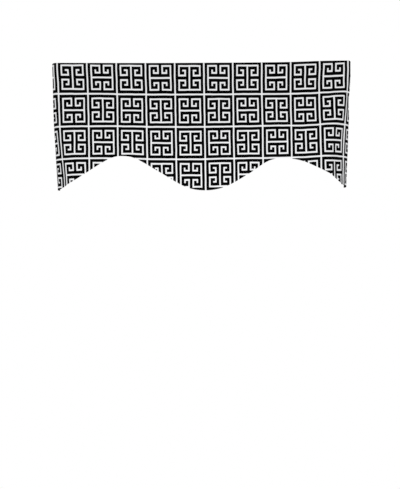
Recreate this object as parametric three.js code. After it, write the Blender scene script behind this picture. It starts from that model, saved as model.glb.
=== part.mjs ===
import * as THREE from 'three';

// A cornice valance: one printed cloth, hung by its turned-back top hem, with a flat front,
// two returns to the wall and a hem cut in two arches. Millimetres; x runs along the window,
// y towards the wall and z up, from the middle of the top edge.
const returnDepth = 130;
const drop = 430;
const clothThickness = 2;
const topHemDepth = 76;
const topHemSlack = 3.4;
const crownRadius = clothThickness + topHemSlack / 2;
const hemDepth = 2 * crownRadius;
const wallY = returnDepth - crownRadius;

// The turned-back hem keeps its slack down to slackFoot, closes in on the cloth and is sewn to
// it at seamDown, where it stands seamSwell off the doubled cloth. The slot ends above that.
const slackFoot = 58;
const slotFoot = 67;
const slotFootWidth = 0.2;
const seamDown = 70;
const seamSwell = 0.4;
const faceTop = 82;

// The cloth sits to the right of the middle, and leans on its way down. 'across' is measured
// along the cloth from the middle of its print, and 'down' from its top edge.
const lean = [
  { across: -490, top: 6.1, hem: 17.7 },
  { across: 0, top: 7.4, hem: 13.8 },
  { across: 490, top: 4.1, hem: 10.4 },
];

// The shaped hem, as how far it hangs below the top edge.
const hemOutline = [
  { across: -640, down: 422 },
  { across: -575, down: 423 },
  { across: -523, down: 424.5 },
  { across: -445, down: 394 },
  { across: -354, down: 339 },
  { across: -315, down: 319 },
  { across: -276, down: 314 },
  { across: -236, down: 322 },
  { across: -155, down: 368 },
  { across: -67, down: 418 },
  { across: 0, down: 430 },
  { across: 66, down: 418 },
  { across: 146, down: 375 },
  { across: 214, down: 332 },
  { across: 262, down: 324 },
  { across: 325, down: 333 },
  { across: 386, down: 361 },
  { across: 487, down: 413 },
  { across: 523, down: 419 },
  { across: 640, down: 419 },
];

// The top edge isn't quite level: it climbs to the right-hand corner.
const topEdge = [
  { across: -640, rise: 0 },
  { across: -200, rise: -0.8 },
  { across: 0, rise: 0 },
  { across: 220, rise: 1.5 },
  { across: 320, rise: 3.5 },
  { across: 400, rise: 6.4 },
  { across: 487, rise: 7.6 },
  { across: 640, rise: 7.6 },
];

// Each corner is a bend that widens on its way to the hem. 'at' and 'span' lie along the cloth.
const cornerBends = [
  { side: -1, down: 56, at: 508.4, span: 42 },
  { side: -1, down: 438.6, at: 519.8, span: 127 },
  { side: 1, down: 0, at: 496, span: 22 },
  { side: 1, down: 60, at: 497.2, span: 24 },
  { side: 1, down: 120, at: 496.2, span: 69 },
  { side: 1, down: 200, at: 505.6, span: 113.5 },
  { side: 1, down: 300, at: 512.5, span: 116 },
  { side: 1, down: 430, at: 507, span: 134 },
];

// An ease goes before it, a slow turn that begins ever further forward. 'turn' is in degrees,
// and the second set holds once the corner is open.
const cornerEases = [
  { side: -1, at: 478, span: 63, turn: 0, openAt: 448, openSpan: 93, openTurn: 36 },
  { side: 1, at: 521, span: 22, turn: 0, openAt: 422.5, openSpan: 26.5, openTurn: 38.5 },
];

// A sharp upright crease runs down into the hem at each corner: in, back out and on again.
const cornerCreases = [
  { side: -1, at: 487.8, span: 2.9, turn: 47 },
  { side: -1, at: 490.7, span: 2.9, turn: -87 },
  { side: -1, at: 493.6, span: 3.8, turn: 22 },
  { side: 1, at: 484.5, span: 3.45, turn: 24.5 },
  { side: 1, at: 487.9, span: 3.45, turn: -81 },
  { side: 1, at: 491.4, span: 4.5, turn: 48 },
];

// Where the eases open and the creases grow, in shares of the drop.
const cornerGrowth = [
  { side: -1, opensFrom: 0.13, opensTo: 1.02, creasesFrom: 0.545, creasesTo: 0.94 },
  { side: 1, opensFrom: -0.355, opensTo: 0.788, creasesFrom: 0.313, creasesTo: 0.586 },
];

// Slack billows, which stand out most at the hem.
const billows = [
  { across: -590, reach: 28, out: 3 },
  { across: -330, reach: 120, out: 3.5 },
  { across: -110, reach: 120, out: -2.5 },
  { across: 70, reach: 110, out: 3 },
  { across: 250, reach: 110, out: -3 },
  { across: 395, reach: 70, out: 4.5 },
  { across: 590, reach: 28, out: -3 },
];

// Where the cloth's shape is worked out, from its middle to the wall.
const flatReach = 380;
const cornerEnd = 575;
const walkStep = 1;
const stations = [
  { to: 425, steps: 18 },
  { to: 478, steps: 7 },
  { to: 497, steps: 14 },
  { to: 509, steps: 5 },
  { to: cornerEnd, steps: 10 },
];
const returnSteps = 5;
const clothRows = 12;

function smooth(from, to, x) {
  const k = THREE.MathUtils.clamp((x - from) / (to - from), 0, 1);
  return k * k * (3 - 2 * k);
}

// A smooth curve through a table's rows.
function readTable(rows, column, across) {
  const last = rows.length - 1;
  let i = 0;
  while (i < last - 1 && rows[i + 1].across < across) i += 1;
  const slope = (k) => {
    const a = rows[Math.max(k - 1, 0)];
    const b = rows[Math.min(k + 1, last)];
    return (b[column] - a[column]) / (b.across - a.across);
  };
  const width = rows[i + 1].across - rows[i].across;
  const k = THREE.MathUtils.clamp((across - rows[i].across) / width, 0, 1);
  const bend = slope(i) * width * k * (1 - k) * (1 - k) - slope(i + 1) * width * k * k * (1 - k);
  return THREE.MathUtils.lerp(rows[i][column], rows[i + 1][column], k * k * (3 - 2 * k)) + bend;
}

// Where a corner's bend lies along the cloth, and its span there.
function cornerBend(side, down) {
  const rows = cornerBends.filter((row) => row.side === side);
  let i = 0;
  while (i < rows.length - 2 && rows[i + 1].down < down) i += 1;
  const k = smooth(rows[i].down, rows[i + 1].down, down);
  return ['at', 'span'].map((column) => THREE.MathUtils.lerp(rows[i][column], rows[i + 1][column], k));
}

// How far the cloth has turned towards the wall, in radians.
function heading(side, along, down) {
  const [ease, growth] = [cornerEases, cornerGrowth].map((rows) => rows.find((row) => row.side === side));
  const open = smooth(growth.opensFrom, growth.opensTo, down / drop);
  const creased = smooth(growth.creasesFrom, growth.creasesTo, down / drop);
  const bend = (at, span, turn) => turn * smooth(at - span / 2, at + span / 2, along);
  const opened = (row, before, after) => THREE.MathUtils.lerp(row[before], row[after], open);

  const easeTurn = opened(ease, 'turn', 'openTurn');
  let turned = bend(opened(ease, 'at', 'openAt'), opened(ease, 'span', 'openSpan'), easeTurn);
  let owed = 90 - easeTurn;
  for (const crease of cornerCreases.filter((row) => row.side === side)) {
    turned += bend(crease.at, crease.span, crease.turn * creased);
    owed -= crease.turn * creased;
  }
  turned += bend(...cornerBend(side, down), owed);
  return THREE.MathUtils.degToRad(turned);
}

// The outer face, level by level: walks along the cloth from its middle.
function walk(side, along, down) {
  const place = { x: Math.min(along, flatReach), y: 0 };
  const steps = Math.ceil(Math.max(along - flatReach, 0) / walkStep);
  const step = (along - flatReach) / Math.max(steps, 1);
  for (let i = 0; i < steps; i += 1) {
    const angle = heading(side, flatReach + (i + 0.5) * step, down);
    place.x += step * Math.cos(angle);
    place.y += step * Math.sin(angle);
  }
  return place;
}

function billow(across, down) {
  const low = smooth(topHemDepth / drop, 1, down / drop);
  let out = 0;
  for (const row of billows) {
    const k = THREE.MathUtils.clamp(Math.abs(across - row.across) / row.reach, 0, 1);
    out += row.out * low * (1 + Math.cos(Math.PI * k)) / 2;
  }
  return out;
}

// A point of the cloth, 'inward' from its outer face. Past the corner, 'toWall' runs from 0
// to 1 at the wall.
function clothPoint(side, along, toWall, down, inward) {
  const place = walk(side, along, down);
  const angle = heading(side, along, down);
  const y = place.y - crownRadius;
  const across = side * (along + toWall * (wallY - y));
  const [top, hem] = ['top', 'hem'].map((column) => readTable(lean, column, across));
  const shift = THREE.MathUtils.lerp(top, hem, down / drop);
  const deep = inward - billow(across, down);
  return new THREE.Vector3(
    shift + side * (place.x - deep * Math.sin(angle)),
    toWall === 1 ? wallY : THREE.MathUtils.lerp(y, wallY, toWall) + deep * Math.cos(angle),
    readTable(topEdge, 'rise', across) - down,
  );
}

// The slot between the cloth and its turned-back hem, open at both returns.
const slotLoop = [
  { name: 'backFoot', inward: clothThickness + topHemSlack, down: slackFoot },
  { name: 'backMiddle', inward: clothThickness + topHemSlack, down: topHemDepth / 2 },
  { name: 'backTop', inward: clothThickness + topHemSlack, down: crownRadius },
  { name: 'top', inward: crownRadius, down: clothThickness },
  { name: 'faceTop', inward: clothThickness, down: crownRadius },
  { name: 'faceMiddle', inward: clothThickness, down: topHemDepth / 2 },
  { name: 'faceFoot', inward: clothThickness, down: slackFoot },
  { name: 'foot', inward: clothThickness + slotFootWidth, down: slotFoot },
];

// Rows of the top fold, from the back to the face, as the part of the slot that each lies beside.
const foldRows = ['backTop', 'backTop', 'top', 'faceTop', 'faceTop'];

// The cloth's section as a loop of {inward, down}: up the turned-back hem, over the fold, down
// the face, round the shaped hem and up the back of the cloth to the foot of the turned hem.
function outerLoop(hemDown) {
  const loop = [
    { inward: hemDepth, down: slackFoot, beside: 'backFoot' },
    { inward: hemDepth, down: topHemDepth / 2, beside: 'backMiddle' },
  ];
  foldRows.forEach((beside, i) => {
    const angle = Math.PI * (1 - i / (foldRows.length - 1));
    loop.push({
      inward: crownRadius - crownRadius * Math.cos(angle),
      down: crownRadius - crownRadius * Math.sin(angle),
      beside,
    });
  });
  loop.push({ inward: 0, down: topHemDepth / 2, beside: 'faceMiddle' });
  loop.push({ inward: 0, down: slackFoot, beside: 'faceFoot' });
  const rows = Array.from({ length: clothRows + 1 }, (_, i) =>
    THREE.MathUtils.lerp(faceTop, hemDown, i / clothRows));
  rows.forEach((down) => loop.push({ inward: 0, down, beside: 'foot' }));
  rows.reverse().forEach((down) => loop.push({ inward: clothThickness, down, beside: 'foot' }));
  loop.push({ inward: 2 * clothThickness, down: topHemDepth, beside: 'foot' });
  loop.push({ inward: 2 * clothThickness + seamSwell, down: seamDown, beside: 'foot' });
  return loop;
}

// Stations from the left wall to the right wall.
function clothStations() {
  const half = [];
  let from = 0;
  for (const zone of stations) {
    for (let i = 1; i <= zone.steps; i += 1) {
      half.push({ along: THREE.MathUtils.lerp(from, zone.to, i / zone.steps), toWall: 0 });
    }
    from = zone.to;
  }
  for (let i = 1; i <= returnSteps; i += 1) {
    half.push({ along: cornerEnd, toWall: i / returnSteps });
  }
  const left = half.map((station) => ({ side: -1, ...station })).reverse();
  const right = half.map((station) => ({ side: 1, ...station }));
  return [...left, { side: 1, along: 0, toWall: 0 }, ...right];
}

// Walls of a loop that is carried along all stations. The slot's loop runs the same way round,
// so its walls are turned over to face into it.
function sweepLoop(columns, start, turnOver) {
  const faces = [];
  const around = columns[0].length;
  for (let i = 0; i < columns.length - 1; i += 1) {
    for (let j = 0; j < around; j += 1) {
      const next = (j + 1) % around;
      const [a, d] = [j, next].map((k) => start + i * around + k);
      const [b, c] = [a + around, d + around];
      faces.push(...(turnOver ? [[a, c, d], [a, b, c]] : [[a, d, c], [a, c, b]]));
    }
  }
  return faces;
}

// An end of the cloth, flat against the wall, with the slot left open.
function endFaces(outer, outerStart, slotStart) {
  const faceRow = outer.findIndex((row) => row.inward === 0 && row.down > topHemDepth);
  const backRow = faceRow + 2 * clothRows + 1;
  const faces = [];
  const ring = outer.map((row, k) => ({
    corner: outerStart + k,
    inner: slotStart + slotLoop.findIndex((slot) => slot.name === row.beside),
  }));
  ring.splice(faceRow + 1, 2 * clothRows);
  ring.forEach((from, k) => {
    const to = ring[(k + 1) % ring.length];
    faces.push([from.corner, to.corner, from.inner]);
    if (to.inner !== from.inner) faces.push([to.corner, to.inner, from.inner]);
  });
  for (let k = 0; k < clothRows; k += 1) {
    const [a, b] = [faceRow + k, faceRow + k + 1].map((row) => outerStart + row);
    const [c, d] = [backRow - k - 1, backRow - k].map((row) => outerStart + row);
    faces.push([a, b, c], [a, c, d]);
  }
  return faces;
}

function makeCloth() {
  const columns = clothStations().map(({ side, along, toWall }) => {
    const returnLength = wallY + crownRadius - walk(side, cornerEnd, drop).y;
    const across = side * (along + toWall * returnLength);
    const outer = outerLoop(readTable(hemOutline, 'down', across));
    const place = (row) => clothPoint(side, along, toWall, row.down, row.inward);
    return { outer, place };
  });
  const last = columns.length - 1;
  const outerPoints = columns.map(({ outer, place }) => outer.map(place));
  const slotPoints = columns.map(({ place }) => slotLoop.map(place));
  const slotStart = outerPoints.flat().length;
  const [outerSize, slotSize] = [outerPoints[0].length, slotPoints[0].length];
  const leftEnd = endFaces(columns[0].outer, 0, slotStart);
  const rightEnd = endFaces(columns[last].outer, last * outerSize, slotStart + last * slotSize);
  const faces = [
    ...sweepLoop(outerPoints, 0, false),
    ...sweepLoop(slotPoints, slotStart, true),
    ...leftEnd.map((face) => face.reverse()),
    ...rightEnd,
  ];
  const geometry = new THREE.BufferGeometry();
  geometry.setFromPoints([...outerPoints.flat(), ...slotPoints.flat()]);
  geometry.setIndex(faces.flat());
  geometry.computeVertexNormals();
  const cotton = new THREE.MeshStandardMaterial({ color: 0xe8e7e3, roughness: 0.9, metalness: 0 });
  const cloth = new THREE.Mesh(geometry, cotton);
  cloth.name = 'valance_cloth';
  return cloth;
}

const valance = new THREE.Group();
valance.add(makeCloth());

export default valance;
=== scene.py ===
# Cornice valance, one printed cotton cloth hung by its turned-back top hem. Metres.
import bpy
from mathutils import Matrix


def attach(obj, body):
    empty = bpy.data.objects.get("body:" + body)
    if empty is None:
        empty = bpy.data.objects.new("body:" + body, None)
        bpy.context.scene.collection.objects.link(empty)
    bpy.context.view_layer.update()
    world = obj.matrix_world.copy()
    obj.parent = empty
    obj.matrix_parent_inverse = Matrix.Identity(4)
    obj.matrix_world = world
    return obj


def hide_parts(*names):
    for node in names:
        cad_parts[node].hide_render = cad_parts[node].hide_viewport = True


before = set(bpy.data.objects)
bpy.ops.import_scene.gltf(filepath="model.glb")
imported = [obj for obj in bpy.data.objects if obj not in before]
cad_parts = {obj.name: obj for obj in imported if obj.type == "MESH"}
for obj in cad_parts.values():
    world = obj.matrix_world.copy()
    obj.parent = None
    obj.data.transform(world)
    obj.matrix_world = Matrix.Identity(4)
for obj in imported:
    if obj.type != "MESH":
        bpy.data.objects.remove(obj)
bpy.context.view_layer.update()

import math
import bpy

mm = 0.001
bpy.ops.object.select_all(action="DESELECT")


def smooth(start, end, x):
    k = min(max((x - start) / (end - start), 0), 1)
    return k * k * (3 - 2 * k)


def mix(a, b, k):
    return a + (b - a) * k


# The shape in which the cloth hangs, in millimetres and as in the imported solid. Across runs
# along the cloth from the middle of its print, and down runs from its top edge.
hanging = {
    "drop": 430,
    "wall": 126.3,          # where the returns end, from the crown of the top fold
    "crownRadius": 3.7,
    "cornerStart": 380,     # the corner's turns lie between these, along the cloth
    "cornerEnd": 575,
    "levels": 62,           # depths at which the plan is worked out
    "billowsFrom": 76,      # down, under the top hem
}

hemOutline = [
    {"across": -640, "down": 422}, {"across": -575, "down": 423},
    {"across": -523, "down": 424.5}, {"across": -445, "down": 394},
    {"across": -354, "down": 339}, {"across": -315, "down": 319},
    {"across": -276, "down": 314}, {"across": -236, "down": 322},
    {"across": -155, "down": 368}, {"across": -67, "down": 418},
    {"across": 0, "down": 430}, {"across": 66, "down": 418},
    {"across": 146, "down": 375}, {"across": 214, "down": 332},
    {"across": 262, "down": 324}, {"across": 325, "down": 333},
    {"across": 386, "down": 361}, {"across": 487, "down": 413},
    {"across": 523, "down": 419}, {"across": 640, "down": 419},
]

topEdge = [
    {"across": -640, "rise": 0}, {"across": -200, "rise": -0.8},
    {"across": 0, "rise": 0}, {"across": 220, "rise": 1.5},
    {"across": 320, "rise": 3.5}, {"across": 400, "rise": 6.4},
    {"across": 487, "rise": 7.6}, {"across": 640, "rise": 7.6},
]

# the cloth sits to the right of the middle, and leans on its way down
lean = [
    {"across": -490, "top": 6.1, "hem": 17.7},
    {"across": 0, "top": 7.4, "hem": 13.8},
    {"across": 490, "top": 4.1, "hem": 10.4},
]

# each corner is a bend that widens on its way to the hem. Side is -1 at the left
cornerBends = [
    {"side": -1, "down": 56, "at": 508.4, "span": 42},
    {"side": -1, "down": 438.6, "at": 519.8, "span": 127},
    {"side": 1, "down": 0, "at": 496, "span": 22},
    {"side": 1, "down": 60, "at": 497.2, "span": 24},
    {"side": 1, "down": 120, "at": 496.2, "span": 69},
    {"side": 1, "down": 200, "at": 505.6, "span": 113.5},
    {"side": 1, "down": 300, "at": 512.5, "span": 116},
    {"side": 1, "down": 430, "at": 507, "span": 134},
]

# before the bend goes an ease, a slow turn. Pairs hold its values at the top and at the hem,
# turns are in degrees, and each growth says between which shares of the drop a turn comes in
cornerEases = {
    -1: {"at": (478, 448), "span": (63, 93), "turn": (0, 36), "growth": (0.13, 1.02),
         "creaseGrowth": (0.545, 0.94)},
    1: {"at": (521, 422.5), "span": (22, 26.5), "turn": (0, 38.5), "growth": (-0.355, 0.788),
        "creaseGrowth": (0.313, 0.586)},
}

# the sharp upright crease at each corner: in, back out and on again
cornerCreases = [
    {"side": -1, "at": 487.8, "span": 2.9, "turn": 47},
    {"side": -1, "at": 490.7, "span": 2.9, "turn": -87},
    {"side": -1, "at": 493.6, "span": 3.8, "turn": 22},
    {"side": 1, "at": 484.5, "span": 3.45, "turn": 24.5},
    {"side": 1, "at": 487.9, "span": 3.45, "turn": -81},
    {"side": 1, "at": 491.4, "span": 4.5, "turn": 48},
]

billows = [
    {"across": -590, "reach": 28, "out": 3}, {"across": -330, "reach": 120, "out": 3.5},
    {"across": -110, "reach": 120, "out": -2.5}, {"across": 70, "reach": 110, "out": 3},
    {"across": 250, "reach": 110, "out": -3}, {"across": 395, "reach": 70, "out": 4.5},
    {"across": 590, "reach": 28, "out": -3},
]


# a table's value at a place along the cloth, on a smooth curve through its rows
def readTable(rows, column, across):
    i = 0
    while i < len(rows) - 2 and rows[i + 1]["across"] < across:
        i += 1

    def slope(k):
        a, b = rows[max(k - 1, 0)], rows[min(k + 1, len(rows) - 1)]
        return (b[column] - a[column]) / (b["across"] - a["across"])

    width = rows[i + 1]["across"] - rows[i]["across"]
    k = min(max((across - rows[i]["across"]) / width, 0), 1)
    bend = slope(i) * width * k * (1 - k) ** 2 - slope(i + 1) * width * k * k * (1 - k)
    return mix(rows[i][column], rows[i + 1][column], k * k * (3 - 2 * k)) + bend


# where a corner's bend lies along the cloth, and its span there
def cornerBend(side, down):
    rows = [row for row in cornerBends if row["side"] == side]
    i = 0
    while i < len(rows) - 2 and rows[i + 1]["down"] < down:
        i += 1
    k = smooth(rows[i]["down"], rows[i + 1]["down"], down)
    return [mix(rows[i][column], rows[i + 1][column], k) for column in ("at", "span")]


# how far the cloth has turned towards the wall, in radians
def heading(side, along, down):
    ease = cornerEases[side]
    opened = smooth(*ease["growth"], down / hanging["drop"])
    creased = smooth(*ease["creaseGrowth"], down / hanging["drop"])

    def bend(at, span, turn):
        return turn * smooth(at - span / 2, at + span / 2, along)

    easeTurn = mix(*ease["turn"], opened)
    turned = bend(mix(*ease["at"], opened), mix(*ease["span"], opened), easeTurn)
    owed = 90 - easeTurn
    for crease in cornerCreases:
        if crease["side"] == side:
            turned += bend(crease["at"], crease["span"], crease["turn"] * creased)
            owed -= crease["turn"] * creased
    turned += bend(*cornerBend(side, down), owed)
    return math.radians(turned)


# the plan of the face, level by level: x, y and heading at each millimetre of cloth
def walkCorner(side, down):
    x, y, rows = hanging["cornerStart"], 0, []
    for along in range(hanging["cornerStart"], hanging["cornerEnd"] + 1):
        rows.append((x, y, heading(side, along, down)))
        angle = heading(side, along + 0.5, down)
        x += math.cos(angle)
        y += math.sin(angle)
    return rows


levelDowns = [hanging["drop"] * i / hanging["levels"] for i in range(hanging["levels"] + 1)]
cornerPlans = {side: [walkCorner(side, down) for down in levelDowns] for side in (-1, 1)}


def planPoint(side, along, down):
    if along <= hanging["cornerStart"]:
        return along, 0, 0
    level = min(max(down / hanging["drop"], 0), 1) * hanging["levels"]
    i = min(int(level), hanging["levels"] - 1)
    step = along - hanging["cornerStart"]
    j = min(int(step), hanging["cornerEnd"] - hanging["cornerStart"] - 1)
    upper, lower = cornerPlans[side][i], cornerPlans[side][i + 1]
    here = [mix(a, b, step - j) for a, b in zip(upper[j], upper[j + 1])]
    below = [mix(a, b, step - j) for a, b in zip(lower[j], lower[j + 1])]
    return [mix(a, b, level - i) for a, b in zip(here, below)]


def billowOut(across, down):
    low = smooth(hanging["billowsFrom"] / hanging["drop"], 1, down / hanging["drop"])
    out = 0
    for row in billows:
        k = min(abs(across - row["across"]) / row["reach"], 1)
        out += row["out"] * low * (1 + math.cos(math.pi * k)) / 2
    return out


# a point that lies inward of the cloth's face, and its way across. Past the corner toWall runs
# from 0 to 1 at the wall line, and over is how far it goes on from there
def clothPoint(side, along, toWall, over, down, inward):
    x, y, angle = planPoint(side, along, down)
    wall = hanging["wall"] - cloth["foldRadius"]
    y -= hanging["crownRadius"]
    across = side * (along + toWall * (wall - y))
    deep = inward - billowOut(across, down)
    lower = down / hanging["drop"]
    shift = mix(readTable(lean, "top", across), readTable(lean, "hem", across), lower)
    return (mm * (shift + side * (x - deep * math.sin(angle))),
            mm * (mix(y, wall, toWall) + over + deep * math.cos(angle)),
            mm * (readTable(topEdge, "rise", across) - down)), across


# the printed cloth and its hems
cloth = {
    "thickness": 0.9,
    "topHem": 76,           # turned to the back and sewn, with its raw edge turned under
    "topHemGap": 1.3,
    "topHemCloses": 54,     # below here it closes in on the face
    "foldRadius": 1.0,      # of the lower and side hems, turned to the back
    "lowerHem": 16,
    "lowerHemRows": (0, 4, 8, 12, 16),
    "faceRows": 80,
    "crownRows": 9,
    "backRows": 15,
    "turnUnderRows": (0, 4, 9),
    # where each zone of columns ends, along the cloth, and how many it has
    "columnZones": [(390, 60), (478, 24), (497, 24), (509, 8), (575, 18)],
    "returnColumns": 14,
    "sideHemColumns": (4, 9, 13),
    "foldSteps": 6,
}

printRepeat = {
    "across": 97.5,         # one block and its gap
    "down": 108.2,
    "firstLine": -4.0,      # the white line above the first row of blocks
    "columnsLeft": 5,
}

# the print isn't quite square with the cloth: how far it has swayed to the right and sagged, at
# each of these depths below the top edge
printLevels = (18, 72, 139, 240, 341)
printDrift = [
    {"across": -485, "sway": (-5.6, -3.5, -2.9, -3.4, -3.8), "sag": (-2.2, -0.3, 1.9, 2.1, 2.5)},
    {"across": -420, "sway": (-3.5, -2.1, -1.5, -1.8, -3.0), "sag": (-2.4, -0.3, 1.6, 1.8, 1.1)},
    {"across": -350, "sway": (-2.8, -1.7, -1.3, -1.6, -2.2), "sag": (-1.8, 0.4, -0.1, 1.2, 0.9)},
    {"across": -265, "sway": (-2.0, -1.3, -0.8, -2.1, -2.5), "sag": (-1.7, 0.9, 2.7, 1.2, 1.1)},
    {"across": -180, "sway": (-1.9, -1.2, -1.3, -1.0, -1.4), "sag": (-0.7, 2.5, 3.1, 3.3, 4.0)},
    {"across": -12, "sway": (-0.5, -0.8, -0.6, -0.4, -0.2), "sag": (-0.2, 2.5, 3.4, 4.2, 4.5)},
    {"across": 72, "sway": (-0.5, -0.8, -0.1, -0.7, 0.1), "sag": (-0.1, 3.1, 3.1, 3.5, 2.9)},
    {"across": 155, "sway": (0.3, -0.4, -0.5, 0.1, -0.4), "sag": (-0.2, 2.7, 2.8, 2.6, 1.8)},
    {"across": 240, "sway": (0.7, -0.4, -0.4, 1.1, 0.9), "sag": (0.5, 3.4, 3.1, 0.9, 1.7)},
    {"across": 322, "sway": (1.0, -0.2, -0.5, 0.0, 1.0), "sag": (0.4, 3.1, 4.2, 2.8, 1.0)},
    {"across": 372, "sway": (1.9, -0.3, -1.9, 0.7, 1.7), "sag": (0.8, 3.5, 5.1, 2.3, 0.8)},
    {"across": 415, "sway": (2.1, -1.4, -0.8, 1.2, 2.2), "sag": (0.8, 4.0, 2.4, 0.1, 0.0)},
    {"across": 450, "sway": (1.3, -1.2, 1.3, 2.9, 4.0), "sag": (-0.4, 2.6, -0.7, -0.4, -0.8)},
    {"across": 485, "sway": (0.6, -0.9, 1.9, 3.6, 5.3), "sag": (-1.5, 1.2, -1.4, -0.5, -1.3)},
]


# the place in the print, in blocks
def printPlace(across, down):
    i = max([k for k, row in enumerate(printDrift[:-1]) if row["across"] <= across] or [0])
    j = max([k for k, level in enumerate(printLevels[:-1]) if level <= down] or [0])
    beside = smooth(printDrift[i]["across"], printDrift[i + 1]["across"], across)
    below = smooth(printLevels[j], printLevels[j + 1], down)

    def drift(name):
        near, far = printDrift[i][name], printDrift[i + 1][name]
        return mix(mix(near[j], near[j + 1], below), mix(far[j], far[j + 1], below), beside)

    return ((across - drift("sway")) / printRepeat["across"] + printRepeat["columnsLeft"],
            (down - drift("sag") - printRepeat["firstLine"]) / printRepeat["down"])


# how far inward of the face the top hem lies
def topHemInward(down):
    r, foot = cloth["foldRadius"], cloth["topHem"]
    return mix(2 * hanging["crownRadius"], cloth["topHemGap"] + 2 * r,
               smooth(cloth["topHemCloses"], foot - r, down))


# a column is a line down the cloth. In the side hem, lift is how far it lies inward of the face,
# and past is its way on the cloth beyond the wall line
def clothColumns():
    half, start, r = [], 0, cloth["foldRadius"]
    for end, steps in cloth["columnZones"]:
        half += [{"along": mix(start, end, (i + 1) / steps), "toWall": 0} for i in range(steps)]
        start = end
    for i in range(cloth["returnColumns"]):
        half.append({"along": start, "toWall": (i + 1) / cloth["returnColumns"]})
    for i in range(cloth["foldSteps"]):
        angle = math.pi * (i + 1) / cloth["foldSteps"]
        half.append({"along": start, "toWall": 1, "lift": r - r * math.cos(angle),
                     "over": r * math.sin(angle), "past": r * angle})
    for past in cloth["sideHemColumns"]:
        half.append({"along": start, "toWall": 1, "lift": 2 * r, "over": -past,
                     "past": math.pi * r + past, "turnedBack": True})
    middle = {"side": 1, "along": 0, "toWall": 0}
    left = [dict(row, side=-1) for row in reversed(half)]
    columns = left + [middle] + [dict(row, side=1) for row in half]
    for column in columns:
        y = planPoint(column["side"], column["along"], hanging["drop"])[1]
        across = column["along"] + column["toWall"] * (hanging["wall"] - y)
        column["hem"] = readTable(hemOutline, "down", column["side"] * across) - r
    return columns


# a row is a line along the cloth, from the turned-up hem up the face and over to the back. On
# the face share runs from 0 at the crown to 1 above the lower hem, and low is added to that.
# print is its way on the cloth, where that isn't the same as down
def clothRows():
    r, crown = cloth["foldRadius"], hanging["crownRadius"]
    foot, gap = cloth["topHem"], cloth["topHemGap"]
    hemRows = cloth["lowerHemRows"]
    roundCrown = (2 - math.pi) * crown
    rows = [{"part": "hem", "share": 1, "inward": 2 * r, "low": low} for low in hemRows]
    for i in range(1, cloth["foldSteps"]):
        angle = math.pi * (1 - i / cloth["foldSteps"])
        rows.append({"part": "hem", "share": 1, "inward": r - r * math.cos(angle),
                     "low": cloth["lowerHem"] + r * math.sin(angle)})
    rows += [{"part": "face", "share": 1, "inward": 0, "low": low} for low in hemRows[:0:-1]]
    for i in range(cloth["faceRows"] + 1):
        rows.append({"part": "face", "share": 1 - i / cloth["faceRows"], "inward": 0, "low": 0})
    for i in range(1, cloth["crownRows"] + 1):
        angle = math.pi * i / cloth["crownRows"]
        rows.append({"part": "crown", "inward": crown - crown * math.cos(angle),
                     "down": crown - crown * math.sin(angle), "print": crown - crown * angle})
    for i in range(1, cloth["backRows"] + 1):
        down = mix(crown, foot - r, i / cloth["backRows"])
        rows.append({"part": "band", "inward": topHemInward(down), "down": down,
                     "print": roundCrown - down})
    for i in range(1, cloth["foldSteps"]):
        angle = math.pi * i / cloth["foldSteps"]
        rows.append({"part": "band", "inward": gap + r + r * math.cos(angle),
                     "down": foot - r + r * math.sin(angle), "print": roundCrown - foot})
    for under in cloth["turnUnderRows"]:
        rows.append({"part": "band", "inward": gap, "down": foot - r - under,
                     "print": roundCrown - foot - under})
    return rows


def clothVertex(column, row):
    down = row.get("down")
    if down is None:
        faceEnd = column["hem"] - cloth["lowerHem"]
        down = mix(hanging["crownRadius"], faceEnd, row["share"]) + row["low"]
    place, across = clothPoint(column["side"], column["along"], column["toWall"],
                               column.get("over", 0), down, row["inward"] + column.get("lift", 0))
    printDown = row.get("print", down if row["part"] == "face" else 2 * column["hem"] - down)
    return place, printPlace(across + column["side"] * column.get("past", 0), printDown)


# two hems don't lie double at the corners: one is cut away there
def cutAway(column, row):
    if row["part"] == "face":
        return "turnedBack" in column and row["low"] > 0
    return "past" in column


def makeCloth():
    columns, rows = clothColumns(), clothRows()
    wide = len(columns)
    bpy.ops.mesh.primitive_grid_add(x_subdivisions=wide - 1, y_subdivisions=len(rows) - 1)
    sheet = bpy.context.object
    sheet.name = sheet.data.name = "printed_cloth"
    mesh = sheet.data
    prints = []
    for i, vertex in enumerate(mesh.vertices):
        vertex.co, at = clothVertex(columns[i % wide], rows[i // wide])
        prints.append(at)
    mesh.uv_layers[0].name = "print"
    for loop in mesh.loops:
        mesh.uv_layers[0].data[loop.index].uv = prints[loop.vertex_index]
    for face in mesh.polygons:
        face.select = any(cutAway(columns[v % wide], rows[v // wide]) for v in face.vertices)
    bpy.context.tool_settings.mesh_select_mode = (False, False, True)
    bpy.ops.object.mode_set(mode="EDIT")
    bpy.ops.mesh.delete(type="FACE")
    bpy.ops.object.mode_set(mode="OBJECT")
    thick = sheet.modifiers.new("thickness", "SOLIDIFY")
    thick.thickness = cloth["thickness"] * mm
    thick.offset = -1
    thick.material_offset = 1
    sheet.data.materials.append(cottonMaterial("printed cotton", 1))
    sheet.data.materials.append(cottonMaterial("printed cotton reverse", printLook["reverseInk"]))
    bpy.ops.object.modifier_apply(modifier="thickness")
    bpy.ops.object.shade_smooth()
    return sheet


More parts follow.
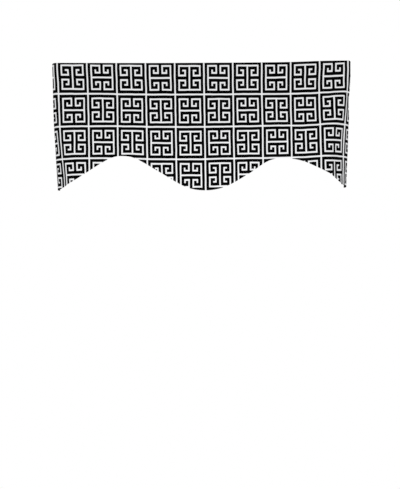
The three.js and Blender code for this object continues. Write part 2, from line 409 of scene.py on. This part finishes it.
# how the cloth and its print look
printLook = {
    "white": (0.602, 0.607, 0.614, 1),
    "black": (0.0002, 0.0002, 0.0003, 1),
    # painted highlight: the black ink is painted lighter on the threads' tops
    "blackThreadHighlight": (0.0011, 0.0011, 0.0012, 1),
    "reverseInk": 0.16,     # how much of the print shows through at the back
    "spread": 0.158,        # how far the ink has run past its bars, in units of the fret
    "edge": 0.06,
    "wander": 0.05,
    "wanderScale": 40.0,
    "waver": 0.01,          # of a block, as the cloth is nowhere quite flat
    "waverScale": 3.2,
    "threads": 0.7,         # thread pitch in millimetres
    # painted shade between the threads and painted light on their tops, for the white
    "threadPaintedLightAndShade": (0.16, 0.915),   # times a thread's height, and plus
    "slubShade": (0.06, 0.97),
    "slubScale": 9.0,
    "bump": 0.35,
    "bumpDepth": 0.0002,
    "roughness": 0.92,
    "specular": 0.005,
    "sheen": 0.006,
    "sheenRoughness": 0.5,
}

# The fret block is 13 units square with a gap of one, is alike in all four quarters, and every
# other block is turned on its side. Its bars are in units from its nearest corner.
fretUnits, fretGap = 13, 1
fretBars = [
    {"left": 0, "right": 1, "top": 0, "bottom": 7},
    {"left": 0, "right": 7, "top": 0, "bottom": 1},
    {"left": 2, "right": 6, "top": 2, "bottom": 3},
    {"left": 5, "right": 6, "top": 2, "bottom": 7},
    {"left": 2, "right": 3, "top": 2, "bottom": 5},
    {"left": 2, "right": 4, "top": 4, "bottom": 5},
    {"left": 0, "right": 6, "top": 6, "bottom": 7},
]


def addNode(tree, kind, settings=None, **inputs):
    node = tree.nodes.new(kind)
    for name, value in (settings or {}).items():
        setattr(node, name, value)
    for name, value in inputs.items():
        plug(tree, value, node.inputs[name.replace("_", " ")])
    return node


def plug(tree, value, socket):
    if isinstance(value, bpy.types.NodeSocket):
        tree.links.new(value, socket)
    else:
        socket.default_value = value


def calc(tree, operation, *values):
    node = tree.nodes.new("ShaderNodeMath")
    node.operation = operation
    for value, socket in zip(values, node.inputs):
        plug(tree, value, socket)
    return node.outputs[0]


# how far a place lies outside the fret's bars, in its units, and below zero inside them
def outsideBars(tree, x, y):
    def folded(v):
        inBlock = calc(tree, "MULTIPLY_ADD", calc(tree, "FRACT", v), fretUnits + fretGap,
                       -fretGap / 2)
        fromMiddle = calc(tree, "ABSOLUTE", calc(tree, "SUBTRACT", inBlock, fretUnits / 2))
        return calc(tree, "SUBTRACT", fretUnits / 2, fromMiddle)

    fx, fy = folded(x), folded(y)
    block = calc(tree, "ADD", calc(tree, "FLOOR", x), calc(tree, "FLOOR", y))
    turned = calc(tree, "FLOORED_MODULO", block, 2)
    swap = calc(tree, "MULTIPLY", calc(tree, "SUBTRACT", fy, fx), turned)
    across, down = calc(tree, "ADD", fx, swap), calc(tree, "SUBTRACT", fy, swap)

    def outside(v, start, end):
        far = calc(tree, "ABSOLUTE", calc(tree, "SUBTRACT", v, (start + end) / 2))
        return calc(tree, "SUBTRACT", far, (end - start) / 2)

    nearest = fretUnits
    for bar in fretBars:
        outX = outside(across, bar["left"], bar["right"])
        outY = outside(down, bar["top"], bar["bottom"])
        nearest = calc(tree, "MINIMUM", nearest, calc(tree, "MAXIMUM", outX, outY))
    return nearest


# height of a plain weave, each thread in turn over and under
def weaveHeight(tree, x, y):
    u = calc(tree, "MULTIPLY", x, printRepeat["across"] / printLook["threads"])
    v = calc(tree, "MULTIPLY", y, printRepeat["down"] / printLook["threads"])
    roundU = calc(tree, "SINE", calc(tree, "MULTIPLY", calc(tree, "FRACT", u), math.pi))
    roundV = calc(tree, "SINE", calc(tree, "MULTIPLY", calc(tree, "FRACT", v), math.pi))
    warp = calc(tree, "MULTIPLY", roundU, calc(tree, "MULTIPLY_ADD", roundV, 0.5, 0.5))
    weft = calc(tree, "MULTIPLY", roundV, calc(tree, "MULTIPLY_ADD", roundU, 0.5, 0.5))
    crossing = calc(tree, "ADD", calc(tree, "FLOOR", u), calc(tree, "FLOOR", v))
    weftOver = calc(tree, "FLOORED_MODULO", crossing, 2)
    change = calc(tree, "MULTIPLY", calc(tree, "SUBTRACT", weft, warp), weftOver)
    return calc(tree, "ADD", warp, change)


def newMaterial(name):
    material = bpy.data.materials.new(name)
    material.use_nodes = True
    return material, material.node_tree, material.node_tree.nodes["Principled BSDF"]


def finishShader(tree, shader, look, colour, height):
    tree.links.new(colour, shader.inputs["Base Color"])
    bump = addNode(tree, "ShaderNodeBump", Height=height, Strength=look["bump"],
                   Distance=look["bumpDepth"])
    tree.links.new(bump.outputs[0], shader.inputs["Normal"])
    shader.inputs["Roughness"].default_value = look["roughness"]
    shader.inputs["Specular IOR Level"].default_value = look["specular"]


def cottonMaterial(name, inkStrength):
    material, tree, shader = newMaterial(name)
    uv = addNode(tree, "ShaderNodeUVMap", {"uv_map": "print"}).outputs["UV"]
    place = addNode(tree, "ShaderNodeSeparateXYZ", Vector=uv)
    slack = addNode(tree, "ShaderNodeTexNoise", Vector=uv, Scale=printLook["waverScale"],
                    Detail=1.0)
    slack = addNode(tree, "ShaderNodeSeparateColor", Color=slack.outputs["Color"])
    waver = printLook["waver"]
    # the print's lines waver
    x, y = [calc(tree, "ADD", place.outputs[axis],
                 calc(tree, "MULTIPLY_ADD", slack.outputs[part], 2 * waver, -waver))
            for axis, part in (("X", "Red"), ("Y", "Green"))]

    # the ink's edge wanders a little too
    wander = addNode(tree, "ShaderNodeTexNoise", Vector=uv, Scale=printLook["wanderScale"],
                     Detail=2.0).outputs[0]
    wander = calc(tree, "MULTIPLY", calc(tree, "SUBTRACT", wander, 0.5), 2 * printLook["wander"])
    outside = calc(tree, "ADD", outsideBars(tree, x, y), wander)
    ink = addNode(tree, "ShaderNodeMapRange", {"interpolation_type": "SMOOTHSTEP"}, Value=outside,
                  From_Min=printLook["spread"] - printLook["edge"],
                  From_Max=printLook["spread"] + printLook["edge"], To_Min=inkStrength, To_Max=0.0)

    # painted light and shade: the threads' tops are painted lighter and the gaps between them
    # darker, by the weave's height; slubs make some threads a shade darker
    weave = weaveHeight(tree, x, y)
    slubs = addNode(tree, "ShaderNodeTexNoise", Vector=uv, Scale=printLook["slubScale"],
                    Detail=4.0).outputs[0]
    tone = calc(tree, "MULTIPLY", calc(tree, "MULTIPLY_ADD", slubs, *printLook["slubShade"]),
                calc(tree, "MULTIPLY_ADD", weave, *printLook["threadPaintedLightAndShade"]))
    grey = addNode(tree, "ShaderNodeCombineColor", Red=tone, Green=tone, Blue=tone).outputs[0]
    mixed = {"data_type": "RGBA"}
    white = addNode(tree, "ShaderNodeMix", dict(mixed, blend_type="MULTIPLY"),
                    Factor=1, A=printLook["white"], B=grey)
    # painted highlight: the black is lighter where the threads stand high
    black = addNode(tree, "ShaderNodeMix", mixed,
                    Factor=weave, A=printLook["black"], B=printLook["blackThreadHighlight"])
    colour = addNode(tree, "ShaderNodeMix", mixed, Factor=ink.outputs[0],
                     A=white.outputs["Result"], B=black.outputs["Result"])
    finishShader(tree, shader, printLook, colour.outputs["Result"], weave)
    shader.inputs["Sheen Weight"].default_value = printLook["sheen"]
    shader.inputs["Sheen Roughness"].default_value = printLook["sheenRoughness"]
    return material


sheet = makeCloth()
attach(sheet, "root")
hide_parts("valance_cloth")
print("cloth:", len(sheet.data.polygons), "faces")

# the stitches of its hems
stitching = {
    "pitch": 2.6,
    "length": 2.35,
    "thread": 0.36,
    "topSeam": 72,          # below the top edge
    "lowerSeam": 12,        # above the lower hem
    "sideSeam": 10,         # in from the wall
    "sideFrom": 80,         # down, under the top hem
    "sidePoints": 31,
    "tone": (0.004, 0.03),
    "lintScale": 900.0,
    "twistScale": 4000.0,
    "bump": 0.4,
    "bumpDepth": 0.0001,
    "roughness": 0.6,
    "specular": 0.2,
}


# the lines that the seams follow on the face, and again on the back
def seamLines():
    r, seam, last = cloth["foldRadius"], stitching["topSeam"], stitching["sidePoints"] - 1
    columns = [column for column in clothColumns() if "past" not in column]
    lines = []
    for topIn, hemIn in ((0, 0), (topHemInward(seam), 2 * r)):
        top, lower = [], []
        for column in columns:
            side, along, toWall = column["side"], column["along"], column["toWall"]
            low = column["hem"] + r - stitching["lowerSeam"]
            top.append(clothPoint(side, along, toWall, 0, seam, topIn)[0])
            lower.append(clothPoint(side, along, toWall, 0, low, hemIn)[0])
        lines += [top, lower]
        for end in (columns[0], columns[-1]):
            bottom = end["hem"] - cloth["lowerHem"]
            lines.append([clothPoint(end["side"], end["along"], 1, -stitching["sideSeam"],
                                     mix(stitching["sideFrom"], bottom, i / last), hemIn)[0]
                          for i in range(last + 1)])
    return lines


def threadMaterial():
    material, tree, shader = newMaterial("black cotton thread")
    place = addNode(tree, "ShaderNodeTexCoord").outputs["Object"]
    lint = addNode(tree, "ShaderNodeTexNoise", Vector=place, Scale=stitching["lintScale"],
                   Detail=2.0).outputs[0]
    dark, pale = stitching["tone"]
    tone = addNode(tree, "ShaderNodeMapRange", Value=lint, To_Min=dark, To_Max=pale).outputs[0]
    colour = addNode(tree, "ShaderNodeCombineColor", Red=tone, Green=tone, Blue=tone).outputs[0]
    twist = addNode(tree, "ShaderNodeTexNoise", Vector=place,
                    Scale=stitching["twistScale"]).outputs[0]
    finishShader(tree, shader, stitching, colour, twist)
    return material


# one stitch, repeated along a seam's line
def sewSeam(points):
    bpy.ops.object.select_all(action="DESELECT")
    bpy.ops.curve.primitive_bezier_curve_add()
    seam = bpy.context.object
    seam.data.splines.clear()
    line = seam.data.splines.new("POLY")
    line.points.add(len(points) - 1)
    for point, place in zip(line.points, points):
        point.co = (*place, 1)
    bpy.ops.object.select_all(action="DESELECT")
    bpy.ops.mesh.primitive_ico_sphere_add(subdivisions=1, radius=0.5)
    stitch = bpy.context.object
    thread = stitching["thread"]
    stitch.scale = [size * mm for size in (stitching["length"], thread, thread)]
    bpy.ops.object.transform_apply(scale=True)
    bpy.ops.object.shade_smooth()
    repeat = stitch.modifiers.new("repeat", "ARRAY")
    repeat.fit_type = "FIT_CURVE"
    repeat.curve = seam
    repeat.use_relative_offset = False
    repeat.use_constant_offset = True
    repeat.constant_offset_displace = (stitching["pitch"] * mm, 0, 0)
    follow = stitch.modifiers.new("follow", "CURVE")
    follow.object = seam
    bpy.ops.object.modifier_apply(modifier="repeat")
    bpy.ops.object.modifier_apply(modifier="follow")
    bpy.data.objects.remove(seam)
    return stitch


seams = [sewSeam(points) for points in seamLines()]
bpy.ops.object.select_all(action="DESELECT")
for seam in seams:
    seam.select_set(True)
bpy.context.view_layer.objects.active = seams[0]
bpy.ops.object.join()
stitches = bpy.context.object
stitches.name = stitches.data.name = "hem_stitches"
stitches.data.materials.append(threadMaterial())
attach(stitches, "root")
print("stitches:", len(stitches.data.polygons), "faces")

# floor, light and camera
studio = {
    "floorSize": 3.2,
    "floorZ": -2.05,
    "floorColour": (0.8, 0.8, 0.79, 1),
    "floorRoughness": 0.9,
    "worldStrength": 1.0,
    "lightAt": (0, -0.95, -1.0),
    "lightTilt": 125,
    "lightSize": (1.8, 0.5),
    "lightWatts": 13,
    "eye": (-0.0057, -2.6037, -0.6122),
    "lens": 56.9,
    "sensor": 36,
}

bpy.ops.mesh.primitive_plane_add(size=studio["floorSize"], location=(0, 0, studio["floorZ"]))
floor = bpy.context.object
floor.name = "floor"
paint, tree, shader = newMaterial("pale floor")
shader.inputs["Base Color"].default_value = studio["floorColour"]
shader.inputs["Roughness"].default_value = studio["floorRoughness"]
floor.data.materials.append(paint)

world = bpy.data.worlds.new("studio")
world.use_nodes = True
background = world.node_tree.nodes["Background"]
background.inputs["Color"].default_value = (1, 1, 1, 1)
background.inputs["Strength"].default_value = studio["worldStrength"]
bpy.context.scene.world = world

# a wide soft light from low in front, which leaves the top of the cloth a shade darker
bpy.ops.object.light_add(type="AREA", location=studio["lightAt"],
                         rotation=(math.radians(studio["lightTilt"]), 0, 0))
light = bpy.context.object
light.data.shape = "RECTANGLE"
light.data.size, light.data.size_y = studio["lightSize"]
light.data.energy = studio["lightWatts"]

bpy.ops.object.camera_add(location=studio["eye"], rotation=(math.pi / 2, 0, 0))
camera = bpy.context.object
camera.data.lens = studio["lens"]
camera.data.sensor_width = studio["sensor"]
bpy.context.scene.camera = camera
bpy.context.scene.view_settings.view_transform = "Standard"
print("studio: floor, light and camera")
